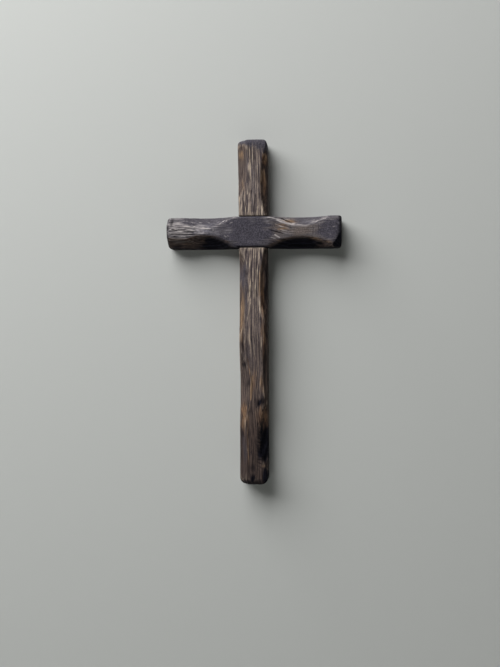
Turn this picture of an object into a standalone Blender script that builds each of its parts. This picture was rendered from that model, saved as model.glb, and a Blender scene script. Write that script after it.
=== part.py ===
"""Hand-hewn wooden wall cross: two beams in a cross lap, with a keyhole hanger let in behind.

The front faces -Y, the wall side +Y, and +Z is up. Sizes are in metres. The origin lies on the
wall plane, behind the middle of the crossing.
"""

import math

import bmesh
import bpy
from mathutils import Vector

# Fits
FIT_GAP = 0.0003           # left between any two pieces that touch
CUT_OVERRUN = 0.004        # how far a cutter runs past the face that it opens

# Post
POST_LENGTH = 0.3050
POST_ABOVE = 0.0820        # from the middle of the crossing to the top end
POST_WIDTH = 0.0252
POST_THICKNESS = 0.0250
POST_TOP_FLARE = 0.0017    # what its left edge gains by the top end

# Crossbeam
CROSSBEAM_LENGTH = 0.1554
CROSSBEAM_LEFT = 0.0773    # from the middle of the crossing to the left end
CROSSBEAM_HEIGHT = 0.0274
CROSSBEAM_THICKNESS = 0.0256
ARM_SWELL = 0.0004         # how far both arms' bottom edges lie below the crossing's
SHOULDER_RUN = 0.0210      # length of arm over which that edge eases away from the crossing's

# Cross lap: the post keeps its back part and the crossbeam its front part
LAP_PLANE = 0.0125         # from the wall to the faces where the two halves meet

# Hewn surface
BACK_EASE = 0.0030         # radius of the long back edges
LEAST_BITE = 0.0013        # what is worn off a front edge that no scoop reaches
LEAST_SIDE = 0.0027        # side that is left between a scoop and the eased back edge
ARRIS = 0.0009             # width of the worn band along each ridge
ARRIS_PER_BITE = 0.3       # widest that band may be, for each unit of a scoop's bite
HOLLOW = 0.0004            # how hollow a facet is across its width
HOLLOW_PER_BITE = 0.1      # deepest that hollow may be, for each unit of a scoop's bite
SIDE_PER_FRONT = 1.15      # a scoop's depth down the side for each unit off the front
LEAST_FRONT = 0.0045       # front that is left between two scoops that face each other
STATION_STEP = 0.0030      # spacing of the sections along a beam
END_RINGS = 5              # sections that round each end
SHARP_ANGLE = 28.0         # degrees between faces that are still shaded as one

# Scoops along each front edge: middle and half length along the beam from the crossing, and bite
POST_LEFT_SCOOPS = (
    (0.064, 0.038, 0.0090),
    (-0.034, 0.019, 0.0066),
    (-0.058, 0.038, 0.0056),
    (-0.140, 0.036, 0.0102),
    (-0.195, 0.052, 0.0062),
)
POST_RIGHT_SCOOPS = (
    (0.044, 0.036, 0.0062),
    (-0.046, 0.040, 0.0063),
    (-0.118, 0.058, 0.0042),
    (-0.179, 0.034, 0.0080),
)
CROSSBEAM_TOP_SCOOPS = (
    (-0.043, 0.027, 0.0090),
    (-0.074, 0.030, 0.0060),
    (0.042, 0.027, 0.0089),
)
CROSSBEAM_BOTTOM_SCOOPS = (
    (-0.043, 0.028, 0.0119),
    (-0.072, 0.034, 0.0090),
    (0.043, 0.032, 0.0100),
)

# Shallow dips in the front face: middle, half length and depth
POST_DIPS = ((0.046, 0.028, 0.0008), (-0.140, 0.050, 0.0009))
CROSSBEAM_DIPS = ((-0.043, 0.027, 0.0016), (0.043, 0.028, 0.0021))

# Rounded ends: length along the beam, then what comes off the left or lower edge, the right or
# upper edge, and the front
POST_TOP_END = (0.0046, 0.0044, 0.0044, 0.0052)
POST_BOTTOM_END = (0.0058, 0.0060, 0.0064, 0.0042)
CROSSBEAM_LEFT_END = (0.0034, 0.0060, 0.0040, 0.0046)
CROSSBEAM_RIGHT_END = (0.0028, 0.0034, 0.0020, 0.0030)

# Facet sawn off the crossbeam's right end, at its lower front corner
CORNER_ALONG = 0.0098
CORNER_UP = 0.0135
CORNER_DEEP = 0.0120

# Keyhole plate, let into the back of the post above the crossing
PLATE_LENGTH = 0.0410
PLATE_WIDTH = 0.0160
PLATE_THICKNESS = 0.0016
PLATE_CORNER = 0.0070
ROUNDEST = 0.98            # largest corner radius, as a share of half the width
PLATE_MIDDLE = 0.0480      # from the middle of the crossing up to the plate's middle
PLATE_RECESS = 0.0002      # how far the plate lies below the wood
ENTRY_RADIUS = 0.0048      # round hole that the wall screw's head enters by
SLOT_HALF_WIDTH = 0.0024
ENTRY_DROP = 0.0045        # from the plate's middle down to the entry's middle
SLOT_RISE = 0.0068         # from the plate's middle up to the slot's end arc
POCKET_RADIUS = 0.0056     # hollow behind the plate, for the wall screw's head
POCKET_DEPTH = 0.0066      # from the mortise's floor

# Countersunk wood screws
PLATE_SCREW_INSET = 0.0040   # from each end of the plate to its screw
PLATE_SCREW_SHANK = 0.00145
PLATE_SCREW_HEAD = 0.0028
PLATE_SCREW_LENGTH = 0.0127
LAP_SCREW_IN_POST = 0.0061   # sideways, from the post's side to the screw
LAP_SCREW_IN_BEAM = 0.0072   # up or down, from the crossbeam's top or bottom to the screw
LAP_SCREW_SHANK = 0.00175
LAP_SCREW_HEAD = 0.0035
LAP_SCREW_LENGTH = 0.0200
LAP_SCREW_RECESS = 0.0003    # how far the heads lie below the wood
HEAD_RIM = 0.0003            # height of the straight rim of a head
POINT_PER_SHANK = 2.2        # length of a screw's point for each unit of its shank's radius
BLUNT_PER_SHANK = 0.25       # radius that is left at the tip of the point

# Faceting of round shapes
ROUND_STEPS = 24
ARC_STEPS = 10


def clear_scene():
    for leftover in list(bpy.data.objects):
        bpy.data.objects.remove(leftover, do_unlink=True)


def new_collection(name):
    collection = bpy.data.collections.new(name)
    bpy.context.scene.collection.children.link(collection)
    return collection


def finish_material(name, colour, roughness, metallic):
    material = bpy.data.materials.new(name)
    material.use_nodes = True
    shader = material.node_tree.nodes["Principled BSDF"]
    shader.inputs["Base Color"].default_value = (*colour, 1.0)
    shader.inputs["Roughness"].default_value = roughness
    shader.inputs["Metallic"].default_value = metallic
    return material


def object_from(bm, name, collection):
    """Makes an object of the bmesh, with its faces turned outwards."""
    bmesh.ops.recalc_face_normals(bm, faces=bm.faces)
    mesh = bpy.data.meshes.new(name)
    bm.to_mesh(mesh)
    bm.free()
    made = bpy.data.objects.new(name, mesh)
    collection.objects.link(made)
    return made


def hide_cutter(cutter):
    cutter.hide_render = True
    cutter.display_type = "WIRE"
    return cutter


def cut(target, cutter):
    boolean = target.modifiers.new("cut " + cutter.name, "BOOLEAN")
    boolean.operation = "DIFFERENCE"
    boolean.solver = "EXACT"
    boolean.object = cutter


def box_cutter(name, low, high):
    """A box between two corners."""
    bm = bmesh.new()
    bmesh.ops.create_cube(bm, size=1.0)
    size = Vector(high) - Vector(low)
    bmesh.ops.scale(bm, vec=size, verts=bm.verts)
    bmesh.ops.translate(bm, vec=(Vector(low) + Vector(high)) / 2, verts=bm.verts)
    return hide_cutter(object_from(bm, name, cutters))


# Beams


def eased(value):
    """Smooth step from 0 to 1."""
    value = min(1.0, max(0.0, value))
    return value * value * (3 - 2 * value)


def scooped(station, scoops, least):
    """The deepest of the scoops at this station; each is an arc along the beam."""
    deepest = least
    for middle, half_length, bite in scoops:
        along = (station - middle) / half_length
        deepest = max(deepest, bite * (1 - along * along))
    return deepest


def post_edges(station):
    """Distance of the post's left and right sides from its axis."""
    half = POST_WIDTH / 2
    flare = POST_TOP_FLARE * eased(station / POST_ABOVE)
    return half + flare, half


def crossbeam_edges(station):
    """Distance of the crossbeam's bottom and top sides from its axis."""
    half = CROSSBEAM_HEIGHT / 2
    shoulder = POST_WIDTH / 2 + FIT_GAP
    swell = ARM_SWELL * eased((abs(station) - shoulder) / SHOULDER_RUN)
    return half + swell, half


def half_section(half, bite, dip, thickness):
    """One side of a section, from the back face round to the front: (across, depth) pairs."""
    depth = min(bite * SIDE_PER_FRONT, thickness - BACK_EASE - LEAST_SIDE)
    wear = min(ARRIS, ARRIS_PER_BITE * bite)
    side_ridge = Vector((half, dip + depth))
    front_ridge = Vector((half - bite, dip))
    down_facet = (side_ridge - front_ridge).normalized()
    facet_middle = (side_ridge + front_ridge) / 2
    inward = Vector((-down_facet.y, down_facet.x))
    hollow = min(HOLLOW, HOLLOW_PER_BITE * bite)
    corner = BACK_EASE * (1 - math.cos(math.pi / 4))
    return [
        Vector((half - BACK_EASE, thickness)),
        Vector((half - corner, thickness - corner)),
        Vector((half, thickness - BACK_EASE)),
        side_ridge + Vector((0, wear)),
        side_ridge - down_facet * wear,
        facet_middle + inward * hollow,
        front_ridge + down_facet * wear,
        front_ridge - Vector((wear, 0)),
    ]


def section(station, beam):
    """The whole outline of the beam at this station, before its ends are rounded."""
    minus_half, plus_half = beam["edges"](station)
    minus_bite = scooped(station, beam["minus_scoops"], LEAST_BITE)
    plus_bite = scooped(station, beam["plus_scoops"], LEAST_BITE)
    room = minus_half + plus_half - LEAST_FRONT
    squeeze = min(1.0, room / (minus_bite + plus_bite))
    dip = scooped(station, beam["dips"], 0.0)
    minus = half_section(minus_half, minus_bite * squeeze, dip, beam["thickness"])
    plus = half_section(plus_half, plus_bite * squeeze, dip, beam["thickness"])
    return [Vector((-p.x, p.y)) for p in minus] + list(reversed(plus))


def rounded(outline, turned, end, thickness):
    """The outline drawn in towards an end face: turned runs from 0 to a quarter turn."""
    draw = 1 - math.cos(turned)
    low = min(p.x for p in outline)
    high = max(p.x for p in outline)
    scale_low = (abs(low) - end[1] * draw) / abs(low)
    scale_high = (high - end[2] * draw) / high
    drawn = []
    for p in outline:
        across = p.x * (scale_low if p.x < 0 else scale_high)
        drawn.append(Vector((across, p.y + end[3] * draw * (1 - p.y / thickness))))
    return drawn


def beam_rings(beam):
    """(station, outline) pairs from one end face to the other."""
    low_end, high_end = beam["low_end"], beam["high_end"]
    first = -beam["low"] + low_end[0]
    last = beam["high"] - high_end[0]
    quarter = math.pi / 2
    rings = []
    for i in range(END_RINGS):
        turned = quarter * (1 - i / END_RINGS)
        station = first - low_end[0] * math.sin(turned)
        rings.append((station, rounded(section(first, beam), turned, low_end, beam["thickness"])))
    count = round((last - first) / STATION_STEP)
    for i in range(count + 1):
        station = first + (last - first) * i / count
        rings.append((station, section(station, beam)))
    for i in range(1, END_RINGS + 1):
        turned = quarter * i / END_RINGS
        station = last + high_end[0] * math.sin(turned)
        rings.append((station, rounded(section(last, beam), turned, high_end, beam["thickness"])))
    return rings


def hewn_beam(name, beam):
    """Draws one end face, then extrudes it from section to section along the beam."""
    bm = bmesh.new()
    rings = beam_rings(beam)
    station, outline = rings[0]
    place = beam["place"]
    corners = [bm.verts.new(place(station, p)) for p in outline]
    face = bm.faces.new(corners)
    for station, outline in rings[1:]:
        rim = list(face.edges)
        extruded = bmesh.ops.extrude_face_region(bm, geom=[face] + rim)["geom"]
        face = next(item for item in extruded if isinstance(item, bmesh.types.BMFace))
        for corner, p in zip(face.verts, outline):
            corner.co = place(station, p)
    return object_from(bm, name, parts)


def shade(made):
    made.data.shade_smooth()
    made.data.set_sharp_from_angle(angle=math.radians(SHARP_ANGLE))


def make_post():
    beam = {
        "low": POST_LENGTH - POST_ABOVE,
        "high": POST_ABOVE,
        "thickness": POST_THICKNESS,
        "edges": post_edges,
        "minus_scoops": POST_LEFT_SCOOPS,
        "plus_scoops": POST_RIGHT_SCOOPS,
        "dips": POST_DIPS,
        "low_end": POST_BOTTOM_END,
        "high_end": POST_TOP_END,
        "place": lambda station, p: Vector((p.x, p.y - POST_THICKNESS, station)),
    }
    post = hewn_beam("post", beam)
    half = CROSSBEAM_HEIGHT / 2 + FIT_GAP
    reach = POST_WIDTH
    cut(post, box_cutter(
        "post notch",
        (-reach, -POST_THICKNESS - CUT_OVERRUN, -half),
        (reach, -LAP_PLANE + FIT_GAP / 2, half),
    ))
    return post


def saw_corner(crossbeam):
    """Takes the lower front corner off the right end, along a slanting plane."""
    bm = bmesh.new()
    bm.from_mesh(crossbeam.data)
    right, front = CROSSBEAM_LENGTH - CROSSBEAM_LEFT, -CROSSBEAM_THICKNESS
    bottom = -crossbeam_edges(right)[0]
    along = Vector((right - CORNER_ALONG, front, bottom))
    up = Vector((right, front, bottom + CORNER_UP))
    deep = Vector((right, front + CORNER_DEEP, bottom))
    normal = (up - along).cross(deep - along).normalized()
    if normal.x < 0:
        normal = -normal
    geometry = bm.verts[:] + bm.edges[:] + bm.faces[:]
    opened = bmesh.ops.bisect_plane(
        bm, geom=geometry, plane_co=along, plane_no=normal, clear_outer=True
    )
    rim = [item for item in opened["geom_cut"] if isinstance(item, bmesh.types.BMEdge)]
    bmesh.ops.contextual_create(bm, geom=rim)
    bmesh.ops.recalc_face_normals(bm, faces=bm.faces)
    bm.to_mesh(crossbeam.data)
    bm.free()


def make_crossbeam():
    beam = {
        "low": CROSSBEAM_LEFT,
        "high": CROSSBEAM_LENGTH - CROSSBEAM_LEFT,
        "thickness": CROSSBEAM_THICKNESS,
        "edges": crossbeam_edges,
        "minus_scoops": CROSSBEAM_BOTTOM_SCOOPS,
        "plus_scoops": CROSSBEAM_TOP_SCOOPS,
        "dips": CROSSBEAM_DIPS,
        "low_end": CROSSBEAM_LEFT_END,
        "high_end": CROSSBEAM_RIGHT_END,
        "place": lambda station, p: Vector((station, p.y - CROSSBEAM_THICKNESS, p.x)),
    }
    crossbeam = hewn_beam("crossbeam", beam)
    saw_corner(crossbeam)
    left, right = post_edges(CROSSBEAM_HEIGHT / 2)
    reach = CROSSBEAM_HEIGHT
    cut(crossbeam, box_cutter(
        "crossbeam notch",
        (-left - FIT_GAP, -LAP_PLANE - FIT_GAP / 2, -reach),
        (right + FIT_GAP, CUT_OVERRUN, reach),
    ))
    return crossbeam


# Keyhole plate and what it needs in the post


def arc(middle, radius, start, end, steps):
    """Points of an arc in the XZ plane: angles count from +X towards +Z."""
    points = []
    for i in range(steps + 1):
        angle = start + (end - start) * i / steps
        points.append((radius * math.cos(angle), middle + radius * math.sin(angle)))
    return points


def keyhole_outline(low, low_radius, high, high_radius):
    """A round hole joined to a slot above it, or a straight slot when both radii are the same."""
    meet = math.acos(min(1.0, high_radius / low_radius))
    below = arc(low, low_radius, math.pi - meet, 2 * math.pi + meet, 2 * ARC_STEPS)
    above = arc(high, high_radius, 0, math.pi, ARC_STEPS)
    return below + above


def prism(name, outline, back, front, collection):
    """An outline in the XZ plane, extruded from one Y to another."""
    bm = bmesh.new()
    corners = [bm.verts.new((x, back, z)) for x, z in outline]
    face = bm.faces.new(corners)
    extruded = bmesh.ops.extrude_face_region(bm, geom=[face])["geom"]
    moved = [item for item in extruded if isinstance(item, bmesh.types.BMVert)]
    bmesh.ops.translate(bm, vec=(0, front - back, 0), verts=moved)
    return object_from(bm, name, collection)


def plate_outline(grow):
    """Rounded rectangle of the plate, grown on every side."""
    half_width = PLATE_WIDTH / 2 + grow
    half_length = PLATE_LENGTH / 2 + grow
    radius = min(PLATE_CORNER + grow, ROUNDEST * half_width)
    outline = []
    for turn, (side, end) in enumerate(((1, 1), (-1, 1), (-1, -1), (1, -1))):
        for i in range(ARC_STEPS + 1):
            angle = math.pi / 2 * (turn + i / ARC_STEPS)
            x = side * (half_width - radius) + radius * math.cos(angle)
            z = end * (half_length - radius) + radius * math.sin(angle)
            outline.append((x, PLATE_MIDDLE + z))
    return outline


def make_keyhole_plate(post):
    back = -PLATE_RECESS
    front = back - PLATE_THICKNESS
    plate = prism("keyhole_plate", plate_outline(0), back, front, parts)
    entry = PLATE_MIDDLE - ENTRY_DROP
    slot_end = PLATE_MIDDLE + SLOT_RISE
    keyhole = prism(
        "keyhole",
        keyhole_outline(entry, ENTRY_RADIUS, slot_end, SLOT_HALF_WIDTH),
        CUT_OVERRUN,
        front - CUT_OVERRUN,
        cutters,
    )
    cut(plate, hide_cutter(keyhole))
    floor = front - FIT_GAP
    mortise = prism("plate mortise", plate_outline(FIT_GAP), CUT_OVERRUN, floor, cutters)
    cut(post, hide_cutter(mortise))
    pocket = prism(
        "head pocket",
        keyhole_outline(entry, POCKET_RADIUS, slot_end, POCKET_RADIUS),
        CUT_OVERRUN,
        floor - POCKET_DEPTH,
        cutters,
    )
    cut(post, hide_cutter(pocket))
    return plate


# Screws


def screw_profile(head, shank, length, grow):
    """Outer side of a countersunk screw from its head down to its point: (radius, height) pairs."""
    slope = grow * math.sqrt(2)
    cone = head - shank
    point = shank * POINT_PER_SHANK
    top = CUT_OVERRUN if grow else 0.0
    return [
        (0.0, top),
        (head + slope, top),
        (head + slope, -HEAD_RIM),
        (shank + grow, -HEAD_RIM - cone - (slope - grow)),
        (shank + grow, -length + point),
        (shank * BLUNT_PER_SHANK + grow, -length - grow),
        (0.0, -length - grow),
    ]


def turned(name, profile, x, y, z, collection):
    """Spins a profile about its axis and lays it down with its head towards the wall."""
    mesh = bpy.data.meshes.new(name)
    points = [(radius, 0.0, height) for radius, height in profile]
    mesh.from_pydata(points, [(i, i + 1) for i in range(len(points) - 1)], [])
    made = bpy.data.objects.new(name, mesh)
    collection.objects.link(made)
    spin = made.modifiers.new("spin", "SCREW")
    spin.axis = "Z"
    spin.steps = ROUND_STEPS
    spin.render_steps = ROUND_STEPS
    spin.use_merge_vertices = True
    spin.merge_threshold = 0.00001
    spin.use_smooth_shade = False
    made.location = (x, y, z)
    made.rotation_euler = (-math.pi / 2, 0, 0)
    return made


def make_screw(name, head, shank, length, x, y, z, holed):
    """A screw, and its hole cut in each piece that it passes through."""
    made = turned(name, screw_profile(head, shank, length, 0.0), x, y, z, parts)
    hole = turned(name + " hole", screw_profile(head, shank, length, FIT_GAP), x, y, z, cutters)
    hide_cutter(hole)
    for piece in holed:
        cut(piece, hole)
    return made


def make_plate_screw(name, side, plate, post):
    z = PLATE_MIDDLE + side * (PLATE_LENGTH / 2 - PLATE_SCREW_INSET)
    return make_screw(
        name, PLATE_SCREW_HEAD, PLATE_SCREW_SHANK, PLATE_SCREW_LENGTH,
        0.0, -PLATE_RECESS, z, (plate, post),
    )


def make_lap_screw(name, side, post, crossbeam):
    x = -side * (POST_WIDTH / 2 - LAP_SCREW_IN_POST)
    z = side * (CROSSBEAM_HEIGHT / 2 - LAP_SCREW_IN_BEAM)
    return make_screw(
        name, LAP_SCREW_HEAD, LAP_SCREW_SHANK, LAP_SCREW_LENGTH,
        x, -LAP_SCREW_RECESS, z, (post, crossbeam),
    )


clear_scene()
parts = new_collection("wall_cross")
cutters = new_collection("cutters")
post = make_post()
crossbeam = make_crossbeam()
keyhole_plate = make_keyhole_plate(post)
plate_screws = [
    make_plate_screw("plate_screw_upper", 1, keyhole_plate, post),
    make_plate_screw("plate_screw_lower", -1, keyhole_plate, post),
]
lap_screws = [
    make_lap_screw("lap_screw_upper", 1, post, crossbeam),
    make_lap_screw("lap_screw_lower", -1, post, crossbeam),
]

post.data.materials.append(finish_material("brushed brown timber", (0.110, 0.080, 0.068), 0.70, 0.0))
crossbeam.data.materials.append(finish_material("charred timber", (0.062, 0.056, 0.064), 0.65, 0.0))
keyhole_plate.data.materials.append(finish_material("zinc-plated sheet", (0.56, 0.57, 0.58), 0.35, 1.0))
for screw in plate_screws + lap_screws:
    screw.data.materials.append(finish_material(screw.name + " steel", (0.58, 0.55, 0.46), 0.35, 1.0))
for beam_object in (post, crossbeam):
    shade(beam_object)
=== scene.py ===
# %% [markdown]
# # A hewn wall cross, dressed over its CAD model
# The real cross is two short softwood beams, halved into each other. Their front edges were hewn
# into long scoops, then the wood was scorched, brushed along the grain and oiled. The CAD model
# already holds the beams, the scoops and the hanger behind, so this lesson keeps every place and
# size from it. It gives the timbers their worked skin and the steel its small detail, and then
# finishes and lights them.

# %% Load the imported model
import math

import bpy
import numpy as np
from mathutils import Matrix, Vector, noise


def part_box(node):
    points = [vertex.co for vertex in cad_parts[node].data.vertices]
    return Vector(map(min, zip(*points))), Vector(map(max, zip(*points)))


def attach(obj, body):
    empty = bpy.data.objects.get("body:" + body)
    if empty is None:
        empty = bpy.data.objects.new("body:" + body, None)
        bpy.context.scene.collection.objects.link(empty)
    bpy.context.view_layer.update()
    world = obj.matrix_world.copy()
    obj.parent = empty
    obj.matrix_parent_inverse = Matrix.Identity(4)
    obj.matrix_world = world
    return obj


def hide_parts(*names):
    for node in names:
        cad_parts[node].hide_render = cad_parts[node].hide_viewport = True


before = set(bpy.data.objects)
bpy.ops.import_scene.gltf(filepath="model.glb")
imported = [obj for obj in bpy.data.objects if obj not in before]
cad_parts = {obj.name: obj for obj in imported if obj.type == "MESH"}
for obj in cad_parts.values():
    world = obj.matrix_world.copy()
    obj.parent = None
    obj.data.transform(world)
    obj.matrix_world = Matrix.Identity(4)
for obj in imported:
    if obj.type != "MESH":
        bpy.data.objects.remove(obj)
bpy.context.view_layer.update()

MM = 0.001

# %% [markdown]
# ## Selecting as by hand
# Blender's operators act on all that is selected, and the loaded model is selected as it comes in.
# So each step first leaves one object picked, as a click on it does. Most steps are then either one
# modifier, applied, or one operator in edit mode.

# %% Helpers that pick, modify, edit and report


def pick(piece):
    """Leaves one object selected and active."""
    bpy.ops.object.select_all(action="DESELECT")
    piece.select_set(True)
    bpy.context.view_layer.objects.active = piece


def modify(piece, name, kind, **settings):
    """Adds a modifier to a piece and applies it, as its Apply button does."""
    modifier = piece.modifiers.new(name, kind)
    for setting, value in settings.items():
        setattr(modifier, setting, value)
    pick(piece)
    bpy.ops.object.modifier_apply(modifier=modifier.name)


def edit(piece, operator, wanted=None, **settings):
    """Runs an edit-mode operator on a whole piece, or on the edges whose two ends pass a test."""
    pick(piece)
    bpy.ops.object.mode_set(mode="EDIT")
    bpy.ops.mesh.select_mode(type="EDGE")
    bpy.ops.mesh.select_all(action="DESELECT" if wanted else "SELECT")
    if wanted:
        bpy.ops.object.mode_set(mode="OBJECT")
        for edge in piece.data.edges:
            edge.select = wanted(*[piece.data.vertices[i].co for i in edge.vertices])
        bpy.ops.object.mode_set(mode="EDIT")
    operator(**settings)
    bpy.ops.object.mode_set(mode="OBJECT")


def report(piece):
    """Prints how large a piece is and how many triangles it holds."""
    piece.data.calc_loop_triangles()
    size = [round(side / MM, 1) for side in piece.dimensions]
    print(piece.name, size, "mm,", len(piece.data.loop_triangles), "triangles")


# %% [markdown]
# ## Camera
# The picture was taken from almost straight in front, a little to the right of the cross and below
# its crossing. A pinhole camera is fixed by its focal length, by the scale at the crossing's front
# face, and by the pixel where the middle of that face falls, so those are the values that are
# written here.

# %% Place the camera
PHOTO_WIDTH, PHOTO_HEIGHT = 500, 667
FOCAL_PIXELS = 1000
CROSSING_PIXEL = (252.7, 231.5)
SCALE = 0.878 * MM  # one pixel at the front of the crossing
CAMERA_YAW = math.radians(4.5)
CAMERA_ROLL = math.radians(-0.2)

camera_data = bpy.data.cameras.new("camera")
camera_data.lens = FOCAL_PIXELS * camera_data.sensor_width / PHOTO_HEIGHT
camera = bpy.data.objects.new("camera", camera_data)
bpy.context.scene.collection.objects.link(camera)
bpy.context.scene.camera = camera
turn = (
    Matrix.Rotation(CAMERA_YAW, 4, "Z")
    @ Matrix.Rotation(math.pi / 2, 4, "X")
    @ Matrix.Rotation(CAMERA_ROLL, 4, "Z")
)
off_axis = Vector((
    (CROSSING_PIXEL[0] - PHOTO_WIDTH / 2) / FOCAL_PIXELS,
    (PHOTO_HEIGHT / 2 - CROSSING_PIXEL[1]) / FOCAL_PIXELS,
    -1.0,
))
crossing_front = Vector((0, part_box("crossbeam")[0].y, 0))
sight = turn.to_3x3() @ off_axis * (FOCAL_PIXELS * SCALE)
camera.matrix_world = Matrix.Translation(crossing_front - sight) @ turn
print("camera at", [round(value, 3) for value in camera.matrix_world.translation], "m")

# %% [markdown]
# ## Colours and nodes
# Colours are read off a screen as hex codes, which are not linear in light, so one function turns
# them into what a shader wants. A second one adds a node with its settings and its links, and gives
# back one of its outputs, ready to be an input of the next node.

# %% Helpers for materials


def linear(code):
    """Turns an sRGB hex colour into linear red, green, blue and alpha."""
    channels = [int(code[i:i + 2], 16) / 255 for i in (1, 3, 5)]
    return [c / 12.92 if c <= 0.04045 else ((c + 0.055) / 1.055) ** 2.4 for c in channels] + [1.0]


def add(tree, kind, inputs=(), stops=(), out=0, **settings):
    """Adds a node. Inputs come in its order or in a dict, and a socket among them is linked."""
    made = tree.nodes.new("ShaderNode" + kind)
    for name, value in settings.items():
        setattr(made, name, value)
    for socket, value in inputs.items() if isinstance(inputs, dict) else enumerate(inputs):
        if isinstance(value, bpy.types.NodeSocket):
            tree.links.new(value, made.inputs[socket])
        else:
            made.inputs[socket].default_value = value
    for i, (place, code) in enumerate(stops):
        if i >= len(made.color_ramp.elements):
            made.color_ramp.elements.new(place)
        made.color_ramp.elements[i].position = place
        made.color_ramp.elements[i].color = linear(code)
    return made.outputs[out]


def new_material(name):
    """A material with its node tree and its Principled shader."""
    material = bpy.data.materials.new(name)
    material.use_nodes = True
    return material, material.node_tree, material.node_tree.nodes["Principled BSDF"]


# %% [markdown]
# ## Backdrop
# The cross hangs flat, so its shade falls on what is behind it. A plain pale wall that runs down
# into a floor shows that shade. It is a plane, folded by extruding its lower edge forward, with the
# fold rounded by a bevel. Seen from behind it is clear, so that the back of the cross can be looked
# at too.

# %% Fold the backdrop
WALL_SIDE = 5.0
WALL_GAP = 0.4 * MM  # between the back of the cross and the wall
FLOOR_LEVEL = -1.0
FLOOR_REACH = 3.0
FOLD_RADIUS = 0.25

bpy.ops.object.select_all(action="DESELECT")
bpy.ops.mesh.primitive_plane_add(
    size=WALL_SIDE,
    location=(0, WALL_GAP, FLOOR_LEVEL + WALL_SIDE / 2),
    rotation=(math.pi / 2, 0, 0),
)
backdrop = bpy.context.object
backdrop.name = "backdrop"
bpy.ops.object.transform_apply()
edit(
    backdrop, bpy.ops.mesh.extrude_region_move,
    lambda start, end: max(start.z, end.z) < FLOOR_LEVEL + MM,
    TRANSFORM_OT_translate={"value": (0, -FLOOR_REACH, 0)},
)
fold = Vector((0, WALL_GAP, FLOOR_LEVEL))
edit(
    backdrop, bpy.ops.mesh.bevel,
    lambda start, end: (start - fold).yz.length < MM and (end - fold).yz.length < MM,
    offset=FOLD_RADIUS, segments=16,
)
bpy.ops.object.shade_smooth()
print("backdrop of", len(backdrop.data.polygons), "faces")

# %% Paint the backdrop
WALL_COLOUR = "#c2c4c1"

# Matt paint scatters nearly all the light that it sends back, so the wall shows shade but no gloss
material, tree, shader = new_material("pale matt wall paint")
shader.inputs["Base Color"].default_value = linear(WALL_COLOUR)
shader.inputs["Roughness"].default_value = 0.9
shader.inputs["Specular IOR Level"].default_value = 0.1
behind = add(tree, "NewGeometry", out="Backfacing")
shadow_ray = add(tree, "LightPath", out="Is Shadow Ray")
clear = add(tree, "Math", (behind, shadow_ray), operation="MAXIMUM")
seen = add(tree, "MixShader", (clear, shader.outputs[0], add(tree, "BsdfTransparent")))
tree.links.new(seen, tree.nodes["Material Output"].inputs["Surface"])
backdrop.data.materials.append(material)
print("backdrop finish:", material.name, WALL_COLOUR)

# %% [markdown]
# ## Light
# In the photograph a broad soft light falls from above and a little from the left: up-facing scoops
# are pale, the undersides nearly black, and the shade on the wall fades over a few centimetres. One
# large area lamp does that. A second one, behind, reaches only what faces the wall. The pale
# surroundings are there to be seen and reflected, but give no light of their own.

# %% Hang the lamps
LAMPS = (  # name, place in m, width, height and watts
    ("window light", (-0.70, -0.86, 1.02), 1.5, 1.4, 38),
    ("light from behind", (-0.5, 1.3, 0.6), 1.0, 1.0, 24),
)

for name, place, width, height, watts in LAMPS:
    lamp_data = bpy.data.lights.new(name, "AREA")
    lamp_data.shape = "RECTANGLE"
    lamp_data.size = width
    lamp_data.size_y = height
    lamp_data.energy = watts
    lamp = bpy.data.objects.new(name, lamp_data)
    bpy.context.scene.collection.objects.link(lamp)
    lamp.location = place
    lamp.rotation_euler = (Vector(place) * -1).to_track_quat("-Z", "Y").to_euler()

# %% Surround it with pale grey
SURROUNDINGS = "#d6d8d6"

world = bpy.data.worlds.new("pale surroundings")
bpy.context.scene.world = world
world.use_nodes = True
tree = world.node_tree
tree.nodes.clear()
seen_ray = 0.0
for ray in ("Is Camera Ray", "Is Transmission Ray", "Is Glossy Ray"):
    seen_ray = add(tree, "Math", (seen_ray, add(tree, "LightPath", out=ray)), operation="MAXIMUM")
dim = add(tree, "Background", {"Strength": 0.0})
pale = add(tree, "Background", {"Color": linear(SURROUNDINGS), "Strength": 1.0})
mixed = add(tree, "MixShader", (seen_ray, dim, pale))
tree.links.new(mixed, tree.nodes.new("ShaderNodeOutputWorld").inputs["Surface"])
bpy.context.scene.view_settings.view_transform = "Standard"
print("world:", world.name, SURROUNDINGS)

# %% [markdown]
# ## Taking the timbers over from the CAD model
# A CAD solid is a shell of large loose triangles, which can't hold brushed grain. A copy of it is
# merged and then remeshed on a fine grid. Grain runs lengthwise and changes fast only across the
# beam, so the copy is squeezed along the beam before the remesh and stretched again after it: the
# grid is then finer across the grain than along it, for the same number of faces. A little
# smoothing takes out the facets between the sections, as a spokeshave would.

# %% Remesh a copy of a timber
SQUEEZE = 0.4  # share of its length that a timber keeps while it is remeshed
MERGE_WITHIN = 0.005 * MM
SMOOTHING_ROUNDS = 8
POST_GRID = 0.41 * MM
BEAM_GRID = 0.32 * MM


def stretch(piece, along, factor):
    """Scales a piece's mesh along one axis, about the origin."""
    factors = [factor if axis == along else 1 for axis in range(3)]
    edit(piece, bpy.ops.transform.resize, value=factors, center_override=(0, 0, 0))


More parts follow.
